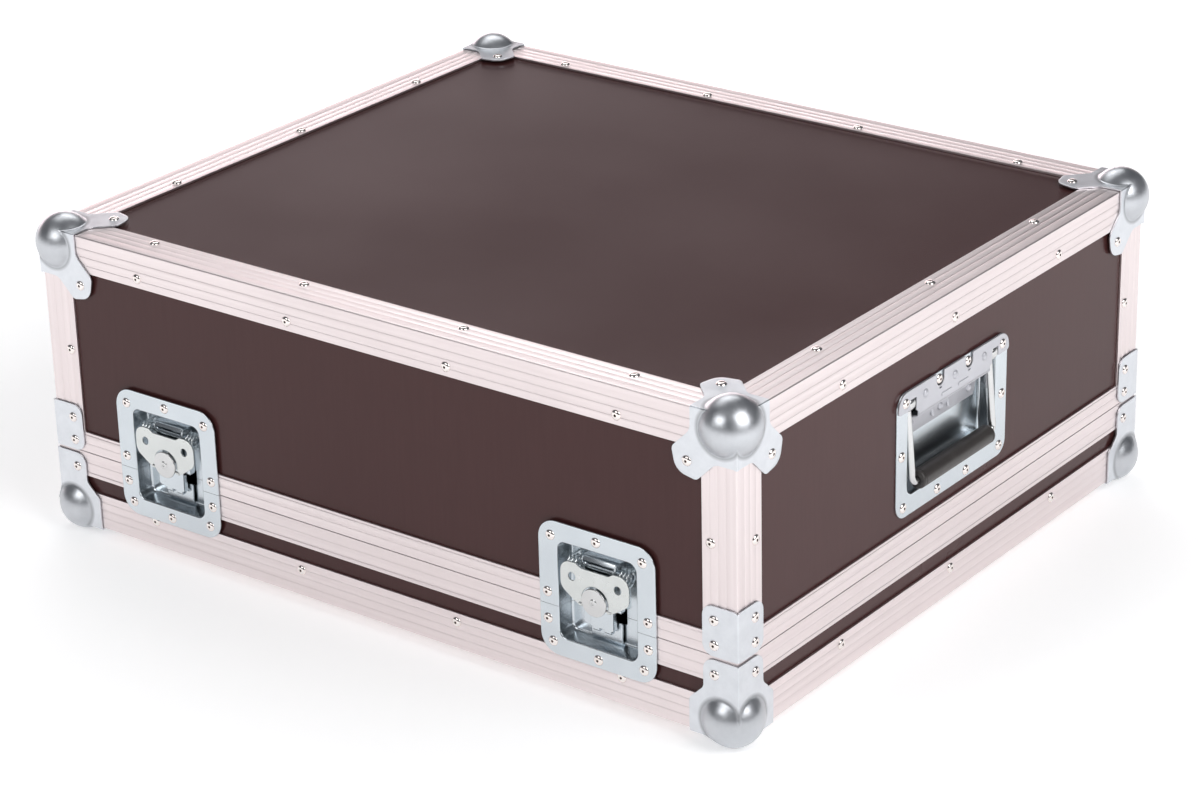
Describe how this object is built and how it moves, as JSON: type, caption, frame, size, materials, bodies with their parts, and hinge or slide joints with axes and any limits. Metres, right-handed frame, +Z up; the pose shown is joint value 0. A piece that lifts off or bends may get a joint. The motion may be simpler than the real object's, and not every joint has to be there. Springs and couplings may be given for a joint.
{
  "type": "mixer flight case",
  "caption": "Flight case for a mixing desk: shallow foam-lined base, deep lift-off hood, brown ply in aluminium edging, ball corners, butterfly latches and sprung end handles.",
  "frame": {"origin": "centre of the footprint on the floor, under the lower ball corners", "axes": "+X along the front to the right, +Y from the front to the back, +Z up"},
  "size_m": [0.685, 0.588, 0.2715],
  "materials": {
    "phenolic_ply": "dark brown phenolic film, satin",
    "anodised_aluminium": "satin anodised extrusion",
    "corner_steel": "bright zinc plated pressed steel",
    "zinc_plated_steel": "blue-white zinc plated",
    "nickel_plated_steel": "nickel plated",
    "spring_steel": "zinc plated wire",
    "grip_rubber": "satin black rubber",
    "black_foam": "matte closed-cell foam"
  },
  "bodies": {
    "base": {"base_tray": "phenolic_ply", "base_foam_pad": "black_foam", "base_edging_frame": "anodised_aluminium", "base_front_rail": "anodised_aluminium", "base_back_rail": "anodised_aluminium", "base_ball_corner_fl": "corner_steel", "base_ball_corner_bl": "corner_steel", "base_ball_corner_fr": "corner_steel", "base_ball_corner_br": "corner_steel", "base_latch_dish_fl": "zinc_plated_steel", "base_latch_dish_fr": "zinc_plated_steel", "base_latch_dish_br": "zinc_plated_steel", "base_latch_dish_bl": "zinc_plated_steel"},
    "hood": {"hood_top_panel": "phenolic_ply", "hood_front_panel": "phenolic_ply", "hood_right_panel": "phenolic_ply", "hood_back_panel": "phenolic_ply", "hood_left_panel": "phenolic_ply", "hood_foam_pad": "black_foam", "hood_edging_frame": "anodised_aluminium", "hood_front_rail": "anodised_aluminium", "hood_back_rail": "anodised_aluminium", "hood_ball_corner_fl": "corner_steel", "hood_ball_corner_bl": "corner_steel", "hood_ball_corner_fr": "corner_steel", "hood_ball_corner_br": "corner_steel", "hood_latch_dish_fl": "zinc_plated_steel", "hood_latch_dish_fr": "zinc_plated_steel", "hood_latch_dish_br": "zinc_plated_steel", "hood_latch_dish_bl": "zinc_plated_steel", "latch_fl_housing": "zinc_plated_steel", "latch_fl_spring": "spring_steel", "latch_fr_housing": "zinc_plated_steel", "latch_fr_spring": "spring_steel", "latch_br_housing": "zinc_plated_steel", "latch_br_spring": "spring_steel", "latch_bl_housing": "zinc_plated_steel", "latch_bl_spring": "spring_steel", "handle_right_dish": "zinc_plated_steel", "handle_right_hinge_plate": "zinc_plated_steel", "handle_right_spring": "spring_steel", "handle_left_dish": "zinc_plated_steel", "handle_left_hinge_plate": "zinc_plated_steel", "handle_left_spring": "spring_steel"},
    "latch_fl_turn": {"latch_fl_rotor": "nickel_plated_steel"},
    "latch_fl_flap": {"latch_fl_wing": "nickel_plated_steel"},
    "latch_fl_draw": {"latch_fl_hook": "zinc_plated_steel"},
    "latch_fr_turn": {"latch_fr_rotor": "nickel_plated_steel"},
    "latch_fr_flap": {"latch_fr_wing": "nickel_plated_steel"},
    "latch_fr_draw": {"latch_fr_hook": "zinc_plated_steel"},
    "latch_br_turn": {"latch_br_rotor": "nickel_plated_steel"},
    "latch_br_flap": {"latch_br_wing": "nickel_plated_steel"},
    "latch_br_draw": {"latch_br_hook": "zinc_plated_steel"},
    "latch_bl_turn": {"latch_bl_rotor": "nickel_plated_steel"},
    "latch_bl_flap": {"latch_bl_wing": "nickel_plated_steel"},
    "latch_bl_draw": {"latch_bl_hook": "zinc_plated_steel"},
    "handle_right_swing": {"handle_right_bail": "nickel_plated_steel", "handle_right_grip": "grip_rubber"},
    "handle_left_swing": {"handle_left_bail": "nickel_plated_steel", "handle_left_grip": "grip_rubber"}
  },
  "joints": [
    {"name": "hood_lift", "type": "slide", "parent": "base", "child": "hood", "axis": [0, 0, 1], "range_m": [0, 0.25]},
    {"name": "latch_fl_turn", "type": "hinge", "parent": "hood", "child": "latch_fl_turn", "pos_m": [-0.2105, -0.284, 0.0885], "axis": [0, -1, 0], "range_deg": [0, 180]},
    {"name": "latch_fl_flap", "type": "hinge", "parent": "latch_fl_turn", "child": "latch_fl_flap", "pos_m": [-0.2105, -0.2875, 0.084], "axis": [1, 0, 0], "range_deg": [0, 90], "stiffness_Nm_per_rad": 0.02},
    {"name": "latch_fl_draw", "type": "slide", "parent": "hood", "child": "latch_fl_draw", "axis": [0, -0.4104, -0.9119], "range_m": [0, 0.00851]},
    {"name": "latch_fr_turn", "type": "hinge", "parent": "hood", "child": "latch_fr_turn", "pos_m": [0.2105, -0.284, 0.0885], "axis": [0, -1, 0], "range_deg": [0, 180]},
    {"name": "latch_fr_flap", "type": "hinge", "parent": "latch_fr_turn", "child": "latch_fr_flap", "pos_m": [0.2105, -0.2875, 0.084], "axis": [1, 0, 0], "range_deg": [0, 90], "stiffness_Nm_per_rad": 0.02},
    {"name": "latch_fr_draw", "type": "slide", "parent": "hood", "child": "latch_fr_draw", "axis": [0, -0.4104, -0.9119], "range_m": [0, 0.00851]},
    {"name": "latch_br_turn", "type": "hinge", "parent": "hood", "child": "latch_br_turn", "pos_m": [0.2105, 0.284, 0.0885], "axis": [0, 1, 0], "range_deg": [0, 180]},
    {"name": "latch_br_flap", "type": "hinge", "parent": "latch_br_turn", "child": "latch_br_flap", "pos_m": [0.2105, 0.2875, 0.084], "axis": [-1, 0, 0], "range_deg": [0, 90], "stiffness_Nm_per_rad": 0.02},
    {"name": "latch_br_draw", "type": "slide", "parent": "hood", "child": "latch_br_draw", "axis": [0, 0.4104, -0.9119], "range_m": [0, 0.00851]},
    {"name": "latch_bl_turn", "type": "hinge", "parent": "hood", "child": "latch_bl_turn", "pos_m": [-0.2105, 0.284, 0.0885], "axis": [0, 1, 0], "range_deg": [0, 180]},
    {"name": "latch_bl_flap", "type": "hinge", "parent": "latch_bl_turn", "child": "latch_bl_flap", "pos_m": [-0.2105, 0.2875, 0.084], "axis": [-1, 0, 0], "range_deg": [0, 90], "stiffness_Nm_per_rad": 0.02},
    {"name": "latch_bl_draw", "type": "slide", "parent": "hood", "child": "latch_bl_draw", "axis": [0, 0.4104, -0.9119], "range_m": [0, 0.00851]},
    {"name": "handle_right_swing", "type": "hinge", "parent": "hood", "child": "handle_right_swing", "pos_m": [0.3268, 0, 0.1895], "axis": [0, -1, 0], "range_deg": [0, 90], "stiffness_Nm_per_rad": 0.12},
    {"name": "handle_left_swing", "type": "hinge", "parent": "hood", "child": "handle_left_swing", "pos_m": [-0.3268, 0, 0.1895], "axis": [0, 1, 0], "range_deg": [0, 90], "stiffness_Nm_per_rad": 0.12}
  ],
  "couplings": [
    {"joint": "latch_fl_draw", "follows": "latch_fl_turn", "m_per_rad": 0.0027056},
    {"joint": "latch_fr_draw", "follows": "latch_fr_turn", "m_per_rad": 0.0027056},
    {"joint": "latch_br_draw", "follows": "latch_br_turn", "m_per_rad": 0.0027056},
    {"joint": "latch_bl_draw", "follows": "latch_bl_turn", "m_per_rad": 0.0027056}
  ]
}
